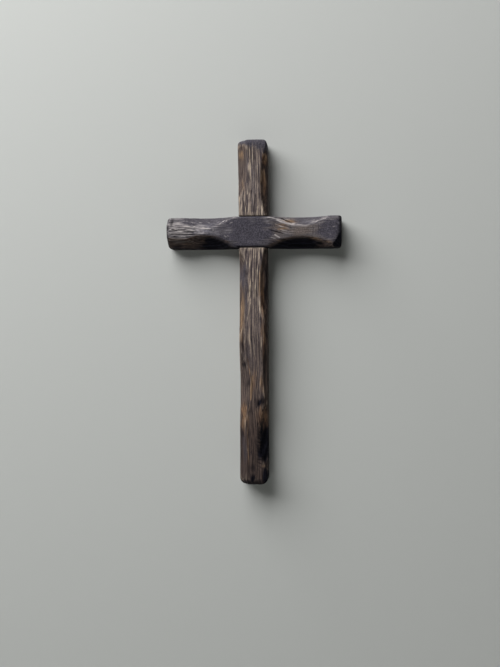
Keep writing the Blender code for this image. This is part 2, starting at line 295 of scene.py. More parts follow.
def timber_from(node, name, along, grid):
    """A finely remeshed copy of a CAD timber that stands for it."""
    piece = bpy.data.objects.new(name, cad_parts[node].data.copy())
    bpy.context.scene.collection.objects.link(piece)
    piece.data.materials.clear()
    edit(piece, bpy.ops.mesh.remove_doubles, threshold=MERGE_WITHIN)
    stretch(piece, along, SQUEEZE)
    modify(piece, "fine grid", "REMESH", mode="VOXEL", voxel_size=grid)
    stretch(piece, along, 1 / SQUEEZE)
    modify(piece, "spokeshave", "SMOOTH", factor=0.5, iterations=SMOOTHING_ROUNDS)
    bpy.ops.object.shade_smooth()
    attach(piece, "root")
    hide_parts(node)
    report(piece)
    return piece


post = timber_from("post", "hewn_post", 2, POST_GRID)
crossbeam = timber_from("crossbeam", "hewn_crossbeam", 0, BEAM_GRID)

# %% [markdown]
# ## Reading and moving the skin
# Brushing, cracks and tool marks follow the wood, not the mesh, so they are worked out from each
# vertex's place in millimetres and then cut inwards along its normal. Smooth noise, stretched along
# the grain, keeps them from looking ruled.

# %% Helpers that measure the skin


def skin(piece):
    """Places in mm and normals of a piece's vertices."""
    count = len(piece.data.vertices)
    places = np.empty(count * 3)
    normals = np.empty(count * 3)
    piece.data.vertices.foreach_get("co", places)
    piece.data.vertices.foreach_get("normal", normals)
    return places.reshape(-1, 3) / MM, normals.reshape(-1, 3)


def ramp(low, high, values):
    """Smooth step from 0 at low to 1 at high."""
    share = np.clip((values - low) / (high - low), 0, 1)
    return share * share * (3 - 2 * share)


def drift(places, lengths, seed):
    """Smooth noise from about -1 to 1; it takes so many mm to change, on all axes or on each."""
    scaled = (places / np.array(lengths) + 7.3 * seed).tolist()
    return np.array([noise.noise(place) for place in scaled])


def cloudy(places, lengths, seed):
    """The same noise, from about 0 to 1."""
    return 0.5 + 0.5 * drift(places, lengths, seed)


def spot(off_across, off_along):
    """A soft round spot: 1 in the middle, about a third at an offset of 1, and 0 far off."""
    return np.exp(-off_across ** 2 - off_along ** 2)


def waves(turns):
    """1 at each whole turn and 0 half-way between."""
    return 0.5 + 0.5 * np.cos(2 * math.pi * turns)


def noise_lengths(along, across, lengthwise):
    """Lengths on the three axes for a noise that is stretched along the grain."""
    return [lengthwise if axis == along else across for axis in range(3)]


def proudness(piece, places, normals, rounds):
    """How far each vertex stands out from the average of its surroundings, in mm."""
    count = len(places)
    ends = np.empty(len(piece.data.edges) * 2, np.int32)
    piece.data.edges.foreach_get("vertices", ends)
    first, second = ends.reshape(-1, 2).T
    neighbours = np.bincount(ends, minlength=count)
    averaged = places.copy()
    for _ in range(rounds):
        total = [
            np.bincount(first, averaged[second, axis], count)
            + np.bincount(second, averaged[first, axis], count)
            for axis in range(3)
        ]
        averaged = np.array(total).T / neighbours[:, None]
    return ((places - averaged) * normals).sum(axis=1)


# %% [markdown]
# ## Growth rings
# A board is cut out of a trunk, so its grain is the trunk's rings. Each vertex gets three lengths:
# how far it is from the pith, how far round it, and how far along. Rings that waver, bend round a
# knot, or bulge at a burr come from shifting the place before those lengths are taken. The material
# reads the same three lengths, so that colour and relief follow one grain.

# %% Work out the grain
EARLY_ENDS, LATE_BEGINS, LATE_ENDS = 0.25, 0.75, 0.9  # shares of the way out through one ring
ROUND_AT = 50.0  # mm from the pith, where an angle round it is turned into a length


def grain_of(places, along, pith, wander, knots=(), burrs=()):
    """Distances in mm from the pith, round it and along it, for a beam that lies along one axis."""
    crosswise = places[:, 0 if along == 2 else 2]
    lengthwise = places[:, along]
    long_noise = noise_lengths(along, 15, 42)
    across = crosswise + wander * drift(places, long_noise, 1)
    across = across + 0.42 * wander * drift(places, noise_lengths(along, 6.5, 15), 2)
    depth = places[:, 1] + wander * drift(places, long_noise, 3)
    for at_across, at_along, reach, push in knots:
        off = crosswise - at_across
        across = across - push * off * spot(off / reach, (lengthwise - at_along) / (2.2 * reach))
    from_pith = np.hypot(across - pith[0], depth - pith[1])
    for at_across, at_along, reach_across, reach_along, rise in burrs:
        off = (crosswise - at_across) / reach_across
        from_pith = from_pith + rise * spot(off, (lengthwise - at_along) / reach_along)
    # Good years and bad ones make rings of uneven width
    from_pith = from_pith + 0.8 * np.sin(from_pith / 3.1) + 0.5 * np.sin(from_pith / 1.27)
    round_pith = ROUND_AT * np.arctan2(depth - pith[1], across - pith[0])
    return np.stack([from_pith, round_pith, lengthwise], axis=1)


def ridges(from_pith, ring):
    """1 on the hard late wood of each ring and 0 in the soft early wood that a brush takes away."""
    part = np.mod(from_pith / ring, 1.0)
    return ramp(EARLY_ENDS, LATE_BEGINS, part) * (1 - ramp(LATE_ENDS, 1, part))


# %% [markdown]
# ## Marks listed one by one
# Some marks are single: a knot, a few cracks, a rubbed streak, a patch that kept its warm colour.
# Each is one row, in mm from the middle of the crossing as seen from the front. A patch fades
# outwards, and noise makes its rim ragged. A streak runs from point to point, and a crack is a
# streak that is cut in.

# %% Helpers for patches, streaks and cracks
FINISHES = ("umber", "rust", "warm", "scraped", "silver", "pale", "matt", "soot_and_shade")
BACK_BROWN = 0.62  # how brown the bare backs are


def lay_on(masks, finish, share):
    """Lays a finish on where its share is larger than what is there."""
    masks[finish] = np.maximum(masks[finish], share)


def patches_of(places, along, marks):
    """One mask per finish; each row is x, z, half width, half height and strength."""
    shift_x = 0.6 * drift(places, noise_lengths(along, 3, 11), 11)
    shift_z = 0.6 * drift(places, noise_lengths(along, 3, 11), 12)
    masks = {finish: np.zeros(len(places)) for finish in FINISHES}
    for finish, rows in marks.items():
        for x, z, half_x, half_z, strength in rows:
            off_x = (places[:, 0] - x) / half_x + shift_x
            off_z = (places[:, 2] - z) / half_z + shift_z
            lay_on(masks, finish, strength * spot(off_x, off_z))
    return masks


def stroke(places, start_x, start_z, end_x, end_z):
    """Distance in mm from a line, and how full a stroke with pointed ends is there, up to 1."""
    run = np.array((end_x - start_x, end_z - start_z))
    offset = places[:, (0, 2)] - np.array((start_x, start_z))
    share = np.clip(offset @ run / (run @ run), 0, 1)
    off = np.linalg.norm(offset - share[:, None] * run, axis=1)
    return off, np.sqrt(np.clip(4 * share * (1 - share), 0.02, 1))


def add_streaks(masks, places, marks):
    """Adds soft strokes to the masks; a row is start x and z, end x and z, width and strength."""
    wobble = 0.25 * drift(places, 2, 22)
    for finish, rows in marks.items():
        for start_x, start_z, end_x, end_z, width, strength in rows:
            off, taper = stroke(places, start_x, start_z, end_x, end_z)
            reach = width / 2 * (0.35 + 0.65 * taper)
            lay_on(masks, finish, strength * spot((off + wobble) / reach, 0))


def cracks_of(places, rows):
    """Depth in mm of the cracks, from rows of start x and z, end x and z, width and depth."""
    wobble = 0.25 * np.abs(drift(places, 3, 21))
    depth = np.zeros(len(places))
    for start_x, start_z, end_x, end_z, width, deep in rows:
        off, taper = stroke(places, start_x, start_z, end_x, end_z)
        depth = np.maximum(depth, deep * np.clip(1 - (off + wobble) / (width / 2 * taper), 0, 1))
    return depth


def marked_skin(piece, along, patches, streaks):
    """A timber's places and normals, a share that is 0 on its back, and a mask for each finish."""
    places, normals = skin(piece)
    masks = patches_of(places, along, patches)
    add_streaks(masks, places, streaks)
    return places, normals, 1 - ramp(0.35, 0.75, normals[:, 1]), masks


def pale_ridges_and_turn(masks, wear_and_highlight, front):
    """Pales worn ridges, partly as a painted highlight, unless dark with soot and shade or matt,
    and keeps the front's finishes off the back.
    """
    bare = (1 - masks["soot_and_shade"].clip(0, 1)) * (1 - masks["matt"].clip(0, 1))
    lay_on(masks, "pale", wear_and_highlight * bare)
    for finish in FINISHES[1:]:
        masks[finish] = masks[finish] * front
    lay_on(masks, "umber", BACK_BROWN * (1 - front))


def keep_on_skin(piece, places, normals, cut_depth, stored):
    """Cuts the skin inwards by a depth in mm and stores what the material reads."""
    mesh = piece.data
    mesh.vertices.foreach_set("co", ((places - normals * cut_depth[:, None]) * MM).ravel())
    mesh.update()
    for name, values in stored.items():
        kind, field = ("FLOAT_VECTOR", "vector") if values.ndim == 2 else ("FLOAT", "value")
        mesh.attributes.new(name, kind, "POINT").data.foreach_set(field, values.ravel())
    print(piece.name, "cut by up to", round(float(cut_depth.max()), 2), "mm")


# %% [markdown]
# ## Backs as the saw left them
# Nobody dresses the side that lies on the wall. The backs keep the marks of the bandsaw: shallow
# grooves straight across the beam, never quite evenly spaced, because the feed was by hand.

# %% Cut the saw marks
SAW_PITCH = 1.7  # mm from groove to groove
SAW_DEPTH = 0.07
SAW_DRIFT = 0.9  # mm that a groove strays from its even place


def saw_marks(places, normals, along):
    """Depth in mm of the saw's grooves on the back face, which looks towards +Y."""
    lengthwise = places[:, along] + SAW_DRIFT * drift(places, (40, 40, 12), 14)
    fading = 0.6 + 0.5 * drift(places, 9, 15)
    return SAW_DEPTH * waves(lengthwise / SAW_PITCH) * fading * ramp(0.8, 0.95, normals[:, 1])


# %% [markdown]
# ## The post's skin
# The post shows its rings as long, slightly wavering lines, seven or eight to a finger's breadth.
# Brushing has left the hard ones standing. Its top end is scorched, its lower third is browner and
# darker, and two small knots and a run of chatter marks sit near the foot.

# %% Place the post's marks
POST_PATCHES = {
    "umber": ((-8.9, 52, 3.7, 9, 0.9), (-9, -42, 3.5, 12, 0.5), (-2.4, -135, 8.8, 19.5, 0.3)),
    "rust": (
        (-10.4, -87, 1.4, 11.5, 0.8), (-8.6, -163, 3.2, 10, 1), (7.2, -159, 3.8, 8.5, 0.55),
        (10.5, -165, 2.6, 12.5, 0.65), (10.4, 64, 2.3, 5.5, 0.9), (10.2, 40, 2.4, 16, 0.5),
        (9, 47, 1.8, 5.5, 0.7), (8.2, -60, 1.4, 19.5, 0.8), (0.3, -133, 2.6, 9, 0.5),
        (9.4, -88, 2.4, 24, 0.6),
    ),
    "warm": (
        (-10.9, 68, 2.3, 4.5, 1), (11.5, 64, 1.6, 4, 0.8), (-8.5, 40, 2.3, 5, 0.5),
        (8.6, 50, 1.8, 5, 0.5), (-9.9, -76, 2, 22, 1), (7.3, -32, 1.3, 2.5, 0.6),
        (7.3, -134, 1.4, 8, 0.8), (-8.4, -164, 3, 11, 0.5), (8.6, -206, 1.6, 1.1, 0.9),
    ),
    "silver": ((-0.5, 50, 8.5, 32, 0.25),),
    "pale": ((1.5, -48, 5, 12, 0.22), (1.5, 52, 7, 30, 0.24)),
    "matt": (
        (-8.6, -39, 4.4, 14, 0.8), (-6.2, -62, 1.2, 13, 0.6), (-7.1, -194, 1.7, 9.5, 0.6),
        (10.8, 74, 4.8, 4.5, 1), (-2.4, -104, 7, 17.5, 0.35), (-8.5, -188, 2.1, 12.5, 0.5),
    ),
    # Rows on the right side, x over 10 mm, are partly painted shade
    "soot_and_shade": (
        (-6.8, -37, 3.2, 3.5, 0.5), (11.6, -47, 2.6, 35, 0.75), (12.1, 23, 1.8, 16, 0.3),
        (-8.1, -117, 2.5, 3, 0.8), (-5, -134, 2, 4.5, 0.75), (-9.9, -100, 1.4, 5.5, 0.7),
        (-10.1, -111, 1.1, 4.5, 0.6), (10.4, -113, 1.6, 12.5, 0.6), (6.2, -150, 4.8, 3.5, 1.1),
        (-9.7, -178, 1.4, 6, 0.7), (-0.6, -176, 1.6, 5.5, 0.5), (-1.8, -194, 1.3, 4, 0.7),
        (-0.4, -201, 1, 3.5, 0.6), (-0.6, -208, 2.8, 4.5, 0.75), (-0.8, -217, 2.9, 4.5, 1.15),
        (12.2, -187, 8.2, 18, 1.6), (11.2, -216, 4.4, 8, 1.4),
    ),
}
POST_STREAKS = {
    "warm": (
        (6.2, -34, 5.4, -58, 1.4, 0.9), (7.5, -75, 7.8, -92, 1.1, 0.7),
        (-5, -111, -2.6, -130, 1.1, 1), (-0.8, -127, -2.5, -148, 2.4, 1.2),
        (-3.3, -152, -5.4, -180, 1.1, 0.7), (-5.4, -180, -4.1, -206, 1.2, 0.9),
    ),
    "pale": (
        (-2.2, 59, -2, 46, 0.7, 0.75), (-0.3, 79, -0.1, 62, 0.7, 0.5), (4.3, 73, 4.1, 62, 0.8, 0.6),
        (-4.7, 43, -4.8, 33, 1, 1), (-2.9, 34, -3.6, 15, 1.2, 0.6), (8.2, 27, 7.7, 13, 1.6, 1.2),
        (4.3, 22, 4.1, 14, 1.2, 0.9), (5.4, 29, 5.2, 21, 0.9, 0.6), (-8.3, 33, -7.3, 24, 0.9, 0.7),
        (-10.3, 25, -10.5, 15, 0.9, 0.7), (-6.6, 23, -6.2, 15, 0.9, 0.7),
        (5.4, -14, 5, -28, 1.2, 1.1), (0.8, -14, 0.5, -24, 0.8, 0.8),
        (2.7, -15, 2.4, -27, 0.9, 0.7), (4.8, -27, 2.2, -46, 1.1, 0.9),
        (2.2, -46, 0.6, -59, 1, 0.8), (-0.1, -31, -0.3, -44, 0.8, 0.8),
        (-2.7, -21, -3.1, -31, 0.8, 0.7), (-5.4, -26, -5.2, -36, 0.9, 0.6),
        (-8.1, -17, -9.1, -27, 0.9, 0.6), (-2.8, -47, -3, -57, 0.9, 0.9),
        (-2.1, -58, -2, -64, 0.7, 0.9), (-3.4, -57, -5, -84, 1.2, 0.45),
        (5.4, -57, 5.5, -66, 1.6, 0.7), (5.5, -65, 7.5, -76, 1.2, 0.7),
        (-3.1, -83, -3.4, -108, 1.3, 0.3), (1.3, -83, 1.1, -109, 1.6, 0.25),
        (7.1, -92, 7.3, -105, 1.6, 0.4), (7.5, -105, 7.6, -122, 0.8, 0.7),
        (-6.9, -85, -7.3, -99, 0.8, 0.5),
    ),
    "soot_and_shade": (
        (-3.6, 79, -3.8, 61, 0.8, 0.9), (-1.4, 76, -1.3, 58, 0.7, 0.8),
        (1.3, 74, 1.1, 58, 0.7, 0.8), (6.8, 72, 6.6, 63, 0.6, 0.4), (-1.3, 37, -1.5, 26, 0.7, 0.7),
        (2.5, 34, 2.2, 24, 0.8, 0.7), (-8.7, -83, -9, -102, 0.8, 0.6),
        (-5.4, -86, -5.5, -107, 0.9, 0.7), (-1, -78, -1.1, -107, 1, 0.7),
        (4.8, -97, 4.7, -111, 0.7, 0.6), (3.4, -48, 3.1, -58, 0.8, 0.6),
        (-0.3, -44, -0.3, -50, 0.7, 0.5), (-2.2, -113, -1.8, -134, 0.6, 0.7),
        (4.1, -113, 4, -129, 0.6, 0.5), (2.7, -155, 5.2, -147, 0.9, 0.9),
        (7.5, -152, 9.7, -148, 0.8, 0.8), (5.9, -145, 7.1, -152, 0.6, 0.7),
        (8.3, -172, 5.2, -188, 1.6, 0.8),
    ),
}
POST_CRACKS = (
    (-3.7, 78, -3.8, 63, 0.9, 0.7), (-1.4, 75, -1.3, 59, 0.8, 0.6), (1.2, 73, 1.1, 59, 0.7, 0.5),
    (-1.4, 37, -1.5, 27, 0.7, 0.5), (3.3, -49, 3.1, -58, 0.7, 0.4), (4.3, -168, 3.8, -171, 1.6, 1),
    (6.9, -208, 9.7, -208, 0.9, 0.7), (-2.1, -115, -1.8, -132, 0.6, 0.4),
)
print("patches on the post:", {finish: len(rows) for finish, rows in POST_PATCHES.items()})

# %% Hew, brush and mark the post
LAP_PLANE = 12.5  # mm from the wall to where the two timbers meet
LAP_MARGIN = 1.0  # mm to either side of that plane that the brush doesn't reach
POST_NOTCH = 14.8  # half of the notch's height in mm, and a little over
POST_RING = 2.0  # mm from ring to ring
POST_BRUSHING = 0.14  # mm that the brush takes out of early wood
POST_FIBRES = 0.12  # mm of finer furrows
TOOL_WAVE = 0.22  # mm of gentle unevenness left by the drawknife
GRAIN_WANDER = 0.9  # mm that a ring strays
# A crack is painted blacker the deeper it is: soot, and painted shade
CRACK_BLACK = 0.5  # mm of depth at which a crack looks fully black
AVERAGING_ROUNDS = 24  # enough to reach about 2 mm of the surroundings
POST_PITH = (-40, 12)
POST_KNOTS = ((6.8, -150, 5, 0.45),)  # place across and along, reach, and push on the rings
KNOT_EYES = ((4.9, -151, 1.5), (9.2, -150, 1.1))  # x, z and radius
CHATTER_PITCH = 3.1  # mm between the chatter marks on the lower right ridge
CHATTER_DEPTH = 0.55

places, normals, front, masks = marked_skin(post, 2, POST_PATCHES, POST_STREAKS)
grain = grain_of(places, 2, POST_PITH, GRAIN_WANDER, knots=POST_KNOTS)
across, height = places[:, 0], places[:, 2]
in_lap = (np.abs(height) < POST_NOTCH) & (places[:, 1] < LAP_MARGIN - LAP_PLANE)
faces_room = normals[:, 1] < 0
faces_right = ramp(0.32, 0.56, normals[:, 0])
faces_left = ramp(0.32, 0.56, -normals[:, 0])
ragged = 2.5 * drift(places, 3.5, 5)

# The sides and the lower third are browner, the top end is matt, and the post darkens towards its
# foot.
# The right side faces away from the light: its brown and soot are partly painted shade
lower = 0.4 * ramp(-75, -105, height) + 0.5 * ramp(-120, -175, height + 2 * ragged)
lay_on(masks, "umber", np.maximum(lower, np.maximum(faces_right, 0.7 * faces_left)))
lay_on(masks, "matt", ramp(71.5, 77, height + ragged + 0.25 * across))
lay_on(masks, "soot_and_shade", 0.35 * ramp(-130, -190, height + 2 * ragged))
lay_on(masks, "soot_and_shade", 0.8 * ramp(-213, -222, height + ragged))
lay_on(masks, "soot_and_shade", 0.46 * ramp(0.6, 0.95, normals[:, 0]))

# Brushing is weaker at the top, on the right facets and towards the foot
brushed = front * (1 - 0.75 * ramp(74, 80, height)) * (1 - 0.6 * faces_right) * ~in_lap
brushed = brushed * (1 - 0.45 * ramp(-130, -190, height))
cut_depth = POST_BRUSHING * (1 - ridges(grain[:, 0], POST_RING)) * brushed
cut_depth += TOOL_WAVE * cloudy(places, (7, 7, 17), 6) * front * ~in_lap
cut_depth += POST_FIBRES * cloudy(grain, (0.8, 3, 9), 7) * brushed

cracked = cracks_of(places, POST_CRACKS) * faces_room
for eye_x, eye_z, eye_radius in KNOT_EYES:
    ragged_eye = np.sqrt(np.clip(1 + 1.4 * drift(places, (1, 1, 1.8), 31), 0.3, 2)) / eye_radius
    eye = spot((across - eye_x) * ragged_eye, (height - eye_z) * ragged_eye / 1.5)
    cracked = cracked + 0.3 * eye * faces_room
    lay_on(masks, "soot_and_shade", 0.8 * eye)

# Chatter marks slant across the lower right ridge and fade in and out
chatter = spot((across - 5.4) / 2.9, 0) * ramp(-168, -178, height) * ramp(-214, -204, height)
chatter = chatter * (0.75 + 0.9 * drift(places, (2.5, 2.5, 3), 17)).clip(0, 1)
chatter_turns = (height + 0.4 * across + 1.5 * drift(places, (3, 3, 4), 8)) / CHATTER_PITCH
cut_depth += CHATTER_DEPTH * chatter * waves(chatter_turns) * faces_room
cut_depth += cracked + saw_marks(places, normals, 2)

proud = proudness(post, places, normals, AVERAGING_ROUNDS)
pale_ridges_and_turn(masks, 0.4 * ramp(0.10, 0.30, proud), front)
keep_on_skin(post, places, normals, cut_depth, {
    "grain": grain, "hollow": np.clip(cracked / CRACK_BLACK, 0, 1) * front,
    "ripple_turns": chatter_turns, "rippled": chatter * front, **masks,
})

# %% [markdown]
# ## The crossbeam's skin
# The crossbeam lies in front. Where it crosses the post it was left nearly flat, and torch and oil
# made it an even grey, whose slight violet is partly a painted reflection. The left arm shows
# wavering lines and small cracks, the right arm a burr whose rings show as close arcs, with a warm
# rubbed patch above it.

# %% Place the crossbeam's marks
BEAM_PATCHES = {
    "umber": (
        (-52, -9.2, 11.5, 4.4, 1), (61, -9.6, 12.5, 3, 0.6), (29, 11.9, 9, 2.6, 0.3),
        (21, -8.6, 8, 1.9, 0.8),
    ),
    "warm": (
        (32, 9.3, 6.5, 2.2, 1.1), (28, 4.3, 5, 3, 0.55), (56, -6.6, 7, 1.6, 0.65),
        (66, -10.4, 7, 2.1, 0.4), (-44, -6.8, 3, 1.2, 0.5), (-59, -9.2, 5.5, 1.1, 0.4),
        (20, -8.3, 5.5, 1.4, 0.5),
    ),
    "scraped": ((42, 0.4, 15, 5.7, 1.2), (21, 1.3, 9, 8, 1), (56, 2.2, 6, 7, 0.8)),
    "silver": (
        (-44, 2.2, 11.5, 5.3, 1.2), (-24, 3.5, 6.5, 4.5, 0.3), (-59, 6.6, 8, 1.9, 0.8),
        (49, 8.8, 5.5, 1.8, 1),
    ),
    # The small bright spots on the upper ridges are partly painted highlight
    "pale": (
        (-63, 1.2, 11.5, 5, 0.85), (-48, 2.6, 7, 4, 0.55), (-70, 5, 5, 4, 1), (24, 10.5, 8, 2, 0.6),
        (52, 9.6, 5.5, 1.7, 0.3), (67, -3.1, 3, 0.8, 0.2), (70, 10.4, 5.5, 1.8, 0.3),
        (-44, 4, 1.4, 0.8, 1.1), (-35, 1.8, 1.1, 0.7, 1), (-52, 5.3, 1.2, 0.6, 1),
        (-58, 6.6, 1.6, 0.6, 0.9), (-72, 4, 0.8, 1.6, 1), (-67, 8.3, 3, 1.2, 1),
        (-44, 0.4, 0.6, 1.1, 0.7), (35, 6.6, 2, 0.8, 1.2), (27, 9, 2.5, 0.8, 1.1),
        (19, 11.3, 1.9, 0.7, 1), (62, 11.3, 2, 0.9, 0.6), (71, 3.5, 1.6, 0.5, 0.3),
        (70, 0.2, 1.6, 0.5, 0.25), (-67, -5.4, 5.5, 0.9, 0.5), (-66, -8, 11, 1.6, 0.3),
    ),
    "matt": (
        (-5, -0.4, 21.5, 17.6, 1.7), (70, 2.2, 9.5, 11.4, 1.6), (62, 1, 7, 7, 1),
        (-55, 8.7, 6, 1.7, 0.8), (-34, 8.5, 4.5, 1.6, 0.7), (45, 8.3, 7, 2.3, 0.6),
        (-24, -0.4, 6, 7, 0.7), (-27, -3.8, 7.5, 4.2, 1), (-39, -1.6, 8, 2.2, 0.6),
    ),
    # Rows low on the beam and at its ends are partly painted shade on lower facets and end rims
    "soot_and_shade": (
        (63, -8, 7, 2.6, 0.28), (-34, -10.6, 10.5, 4.8, 1.2), (-25, -8.6, 7, 2.4, 0.42),
        (18, -10, 4, 2.4, 0.42), (-21, -13.3, 9, 3.2, 1.1), (-68, -12.6, 8, 3.6, 0.8),
        (-72, 8.7, 1.6, 3.3, 0.9), (40, -11, 23, 4.6, 1.4), (77, -7.5, 2.5, 7, 1.5),
        (74, -11.4, 4, 3.5, 1.5),
    ),
}
BEAM_STREAKS = {
    "warm": ((20, 5.7, 28, 5.7, 2.1, 0.9), (22, 1.8, 29, 2.6, 1.8, 0.9)),
    "pale": (
        (-72, 8.7, -55, 4.5, 2.8, 0.9), (-56, 4.7, -38, 2.9, 2.6, 0.7),
        (-39, 3.1, -29, 6.9, 2.2, 0.25), (-56.2, 9.9, -52.9, 8.6, 0.7, 0.6),
        (-52.9, 8.6, -50.6, 9.6, 0.7, 0.5), (-47.9, 9.8, -45.3, 8.4, 0.7, 0.5),
        (-41, 9.6, -38.5, 8.7, 0.8, 0.4), (-29.9, 7.2, -27.6, 8.7, 0.9, 0.7),
        (-26.8, 9.2, -25, 10.7, 0.9, 1), (-24, 9.4, -22.4, 10.9, 0.8, 0.9),
        (-20.3, 7.3, -17.8, 8.5, 0.8, 0.6), (-25.2, -3.1, -23.7, -4.4, 0.8, 0.5),
        (-22.3, -3, -21, -4.2, 0.8, 0.5), (13, 12.7, 21, 10.6, 1.1, 0.8),
        (20, 10.8, 29, 7.6, 2.6, 0.9), (28, 7.8, 36, 5.9, 2.6, 0.8), (35, 6.1, 48, 4.8, 2.6, 0.45),
        (46, 4.8, 59, 10.3, 3, 0.35), (58, 10.1, 66, 12.7, 2, 0.5), (19.1, -2.7, 24, -5.7, 1, 1.1),
        (16, -5.2, 21, -6.8, 1, 0.7), (20, 6.4, 27, 3.6, 0.9, 0.7), (24, 1.7, 30, 0.3, 0.8, 0.6),
    ),
    "matt": ((-62, 9.2, -50, 7.9, 2.3, 1), (-47, 8.8, -38, 7.5, 2.3, 1)),
    "soot_and_shade": (
        (-63, 0.4, -52, 0.3, 1, 1.1), (-59, -1.6, -50, -1.5, 0.7, 1),
        (-73, -1.6, -64, -1.3, 0.9, 1.1), (-68, 2.5, -57, 3.1, 0.6, 1),
        (-70.4, -3.6, -67.3, -3.4, 0.8, 1), (-60, 4.7, -50, 3.4, 0.5, 0.7),
        (-49, 1.8, -44, 0.9, 0.5, 0.6), (-64, -4.5, -53, -3.8, 0.7, 0.6),
        (-72.2, 2.7, -67.3, 1.8, 1, 1.1), (-74, -1.8, -49, -1.7, 0.8, 0.9),
        (-65, 1.7, -48, 0.1, 0.8, 0.8), (-61, 3.6, -52, 2.9, 0.6, 0.7),
        (-72, -4, -66, -4, 0.7, 0.7), (-60, -4.5, -54, -5.7, 0.7, 0.6),
        (-59, 7.3, -49, 7.1, 0.9, 0.6), (25, 12, 34, 8.2, 0.9, 1), (14, 1.7, 28, -2.4, 0.9, 0.9),
    ),
}
BEAM_CRACKS = (
    (25, 11.9, 33, 8.3, 1, 0.8), (15, 1.3, 28, -2.2, 1, 0.8), (-71.9, 2.6, -67.7, 1.8, 1, 0.6),
    (-73, -1.8, -55, -1.7, 0.8, 0.5), (-64, 1.5, -49, 0.3, 0.7, 0.4),
)
print("patches on the crossbeam:", {finish: len(rows) for finish, rows in BEAM_PATCHES.items()})

# %% Hew, brush and mark the crossbeam
BEAM_NOTCH = 13.9  # half of the notch's width in mm, and a little over
BEAM_RING = 1.5
BEAM_BRUSHING = 0.16
BEAM_FIBRES = 0.10
WORN_OFF = 0.9  # share that wear takes off what stands proud on the lower ridges
BEAM_PITH = (32, -6)
BEAM_BURRS = ((6, 25, 6, 7, 2.2), (5, -60, 6, 9, 2))  # place and reach, across then along, and rise
ARCS_ROUND = (30.0, 3.5)  # x and z of the middle of the burr's close arcs
ARCS_AT = (55.5, 1.5, 6.0, 5.5)  # where they show: x, z, half width and half height
ARC_PITCH = 2.3
SAWN_CORNER_FACES = (0.55, -0.55, -0.6)  # which way the sawn lower right corner looks

places, normals, front, masks = marked_skin(crossbeam, 0, BEAM_PATCHES, BEAM_STREAKS)
grain = grain_of(places, 0, BEAM_PITH, GRAIN_WANDER, burrs=BEAM_BURRS)
rightwards, height = places[:, 0], places[:, 2]
off_middle = np.abs(rightwards)
in_lap = (off_middle < BEAM_NOTCH) & (places[:, 1] > -LAP_MARGIN - LAP_PLANE)
faces_room = normals[:, 1] < 0
faces_down = ramp(0.2, 0.55, -normals[:, 2])
faces_up = ramp(0.25, 0.5, normals[:, 2])
faces_corner = ramp(0.75, 0.92, normals @ np.array(SAWN_CORNER_FACES)) * (rightwards > 60)
strayed = rightwards + 5 * drift(places, (6, 3, 3), 16)
left_scoop = 0.7 * ramp(-68, -58, strayed) * ramp(-18, -26, strayed)
right_scoop = 0.7 * ramp(31, 42, strayed) * ramp(66, 60, strayed)
black_right = ramp(12, 17, rightwards) * ramp(68, 48, strayed)
black_left = ramp(-58, -36, strayed) * ramp(-9, -13, rightwards)

# Scoops that look up are matt; their violet-grey is partly a painted reflection.
# The undersides are painted brown and black by the way they face: painted shade over soot, blackest
# under the waists.
lay_on(masks, "umber", faces_down)
lay_on(masks, "matt", faces_up * (left_scoop + right_scoop))
lay_on(masks, "soot_and_shade", 0.35 * faces_down + 0.5 * ramp(0.7, 0.95, -normals[:, 2]))
lay_on(masks, "soot_and_shade", 1.2 * ramp(0.4, 0.6, -normals[:, 2]) * np.maximum(black_right, black_left))

# Just behind the lower front ridges the painted shade and soot are eased off; they set in further
# back
near_ridge = faces_down * ramp(-18.5, -24.6, places[:, 1]) * ramp(13, 15.5, off_middle)
masks["soot_and_shade"] = masks["soot_and_shade"] * (1 - 0.85 * near_ridge)
# The rims at both ends are darkened: painted shade on the end faces, over soot
lay_on(masks, "soot_and_shade", 0.75 * ramp(74.3, 76.6, off_middle + 1.5 * drift(places, 3, 5)))
# The sawn lower right corner faces down and away from the light, so it is painted black as shade
lay_on(masks, "soot_and_shade", 1.2 * faces_corner)

brushed = front * (1 - 0.85 * np.clip(masks["matt"], 0, 1)) * (1 - 0.85 * faces_down) * ~in_lap
cut_depth = BEAM_BRUSHING * (1 - ridges(grain[:, 0], BEAM_RING)) * brushed
cut_depth += TOOL_WAVE * cloudy(places, (15, 7, 7), 6) * front * ~in_lap
cut_depth += BEAM_FIBRES * cloudy(grain, (0.9, 3, 9), 7) * brushed
cracked = cracks_of(places, BEAM_CRACKS) * faces_room
cut_depth += cracked + saw_marks(places, normals, 0)

from_burr = np.hypot(rightwards - ARCS_ROUND[0], 0.7 * (height - ARCS_ROUND[1]))
arc_turns = (from_burr + 0.3 * drift(places, 4, 9)) / ARC_PITCH
shown = spot((rightwards - ARCS_AT[0]) / ARCS_AT[2], (height - ARCS_AT[1]) / ARCS_AT[3])
arcs = (0.6 + 0.8 * drift(places, (3, 3, 6), 10)).clip(0, 1) * shown * faces_room

# The lower ridges are worn rounder than the upper ones; they get little paleness, which on the
# upper ridges is partly a painted highlight from light above
proud = proudness(crossbeam, places, normals, AVERAGING_ROUNDS)
low_down = ramp(1, -3, height)
cut_depth += WORN_OFF * proud.clip(0, 1) * low_down * ramp(13.5, 18, off_middle) * front
pale_ridges_and_turn(masks, 0.36 * ramp(0.10, 0.40, proud) * (1 - 0.7 * low_down), front)
keep_on_skin(crossbeam, places, normals, cut_depth, {
    "grain": grain, "hollow": np.clip(cracked / CRACK_BLACK, 0, 1) * front,
    "ripple_turns": arc_turns, "rippled": arcs, **masks,
})
